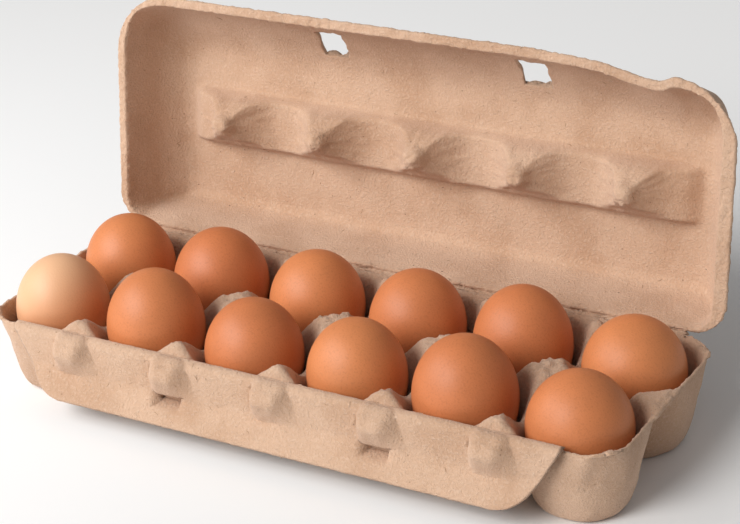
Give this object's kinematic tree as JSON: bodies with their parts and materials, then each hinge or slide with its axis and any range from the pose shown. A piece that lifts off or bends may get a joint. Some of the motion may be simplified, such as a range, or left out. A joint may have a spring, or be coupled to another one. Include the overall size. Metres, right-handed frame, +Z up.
{
  "type": "egg carton",
  "caption": "Open moulded pulp egg carton with hinged lid, front locking flap and brown eggs standing in two rows of pots.",
  "frame": {"origin": "centre of the whole open carton's outline on the table, at the height of the feet", "axes": "+X along the carton, +Y towards the hinged lid at the back, +Z up"},
  "size_m": [0.298, 0.153, 0.1414],
  "materials": {
    "moulded_pulp": "matt, rough moulded fibre, pinkish tan",
    "brown_eggshell": "soft satin eggshell, warm brown with fine pores"
  },
  "bodies": {
    "tray": {"tray": "moulded_pulp"},
    "lid": {"lid": "moulded_pulp"},
    "flap": {"front_flap": "moulded_pulp"},
    "egg_front_1": {"egg_front_1": "brown_eggshell"},
    "egg_front_2": {"egg_front_2": "brown_eggshell"},
    "egg_front_3": {"egg_front_3": "brown_eggshell"},
    "egg_front_4": {"egg_front_4": "brown_eggshell"},
    "egg_front_5": {"egg_front_5": "brown_eggshell"},
    "egg_front_6": {"egg_front_6": "brown_eggshell"},
    "egg_back_1": {"egg_back_1": "brown_eggshell"},
    "egg_back_2": {"egg_back_2": "brown_eggshell"},
    "egg_back_3": {"egg_back_3": "brown_eggshell"},
    "egg_back_4": {"egg_back_4": "brown_eggshell"},
    "egg_back_5": {"egg_back_5": "brown_eggshell"},
    "egg_back_6": {"egg_back_6": "brown_eggshell"}
  },
  "joints": [
    {"name": "lid_hinge", "type": "hinge", "parent": "tray", "child": "lid", "pos_m": [0, 0.0353, 0.036], "axis": [-1, 0, 0], "range_deg": [-98.8, 81]},
    {"name": "flap_hinge", "type": "hinge", "parent": "tray", "child": "flap", "pos_m": [0, -0.06765, 0.0352], "axis": [1, 0, 0], "range_deg": [-196, 0]},
    {"name": "egg_front_1_lift", "type": "slide", "parent": "tray", "child": "egg_front_1", "axis": [0, 0, 1], "range_m": [0, 0.07]},
    {"name": "egg_front_2_lift", "type": "slide", "parent": "tray", "child": "egg_front_2", "axis": [0, 0, 1], "range_m": [0, 0.07]},
    {"name": "egg_front_3_lift", "type": "slide", "parent": "tray", "child": "egg_front_3", "axis": [0, 0, 1], "range_m": [0, 0.07]},
    {"name": "egg_front_4_lift", "type": "slide", "parent": "tray", "child": "egg_front_4", "axis": [0, 0, 1], "range_m": [0, 0.07]},
    {"name": "egg_front_5_lift", "type": "slide", "parent": "tray", "child": "egg_front_5", "axis": [0, 0, 1], "range_m": [0, 0.07]},
    {"name": "egg_front_6_lift", "type": "slide", "parent": "tray", "child": "egg_front_6", "axis": [0, 0, 1], "range_m": [0, 0.07]},
    {"name": "egg_back_1_lift", "type": "slide", "parent": "tray", "child": "egg_back_1", "axis": [0, 0, 1], "range_m": [0, 0.07]},
    {"name": "egg_back_2_lift", "type": "slide", "parent": "tray", "child": "egg_back_2", "axis": [0, 0, 1], "range_m": [0, 0.07]},
    {"name": "egg_back_3_lift", "type": "slide", "parent": "tray", "child": "egg_back_3", "axis": [0, 0, 1], "range_m": [0, 0.07]},
    {"name": "egg_back_4_lift", "type": "slide", "parent": "tray", "child": "egg_back_4", "axis": [0, 0, 1], "range_m": [0, 0.07]},
    {"name": "egg_back_5_lift", "type": "slide", "parent": "tray", "child": "egg_back_5", "axis": [0, 0, 1], "range_m": [0, 0.07]},
    {"name": "egg_back_6_lift", "type": "slide", "parent": "tray", "child": "egg_back_6", "axis": [0, 0, 1], "range_m": [0, 0.07]}
  ]
}
